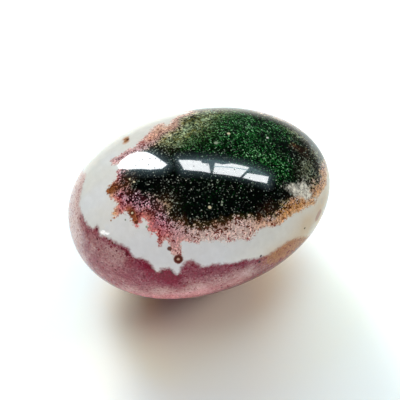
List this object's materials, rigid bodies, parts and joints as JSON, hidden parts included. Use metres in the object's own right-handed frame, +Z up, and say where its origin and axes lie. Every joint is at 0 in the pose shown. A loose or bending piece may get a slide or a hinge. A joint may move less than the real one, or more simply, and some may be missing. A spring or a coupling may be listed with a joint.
{
  "type": "polished jasper palm stone",
  "caption": "Smooth egg-shaped polished pebble of ocean jasper to hold in the hand or lay on a shelf, with a small flat spot to rest on.",
  "frame": {"origin": "middle of the flat spot's level, below the middle of the stone's plan", "axes": "+X along the stone's length towards its slimmer end, +Y across its width, +Z up through its thickness"},
  "size_m": [0.066, 0.0492, 0.0351],
  "materials": {
    "polished_jasper": "high polish"
  },
  "bodies": {
    "root": {"palm_stone": "polished_jasper"}
  },
  "joints": []
}
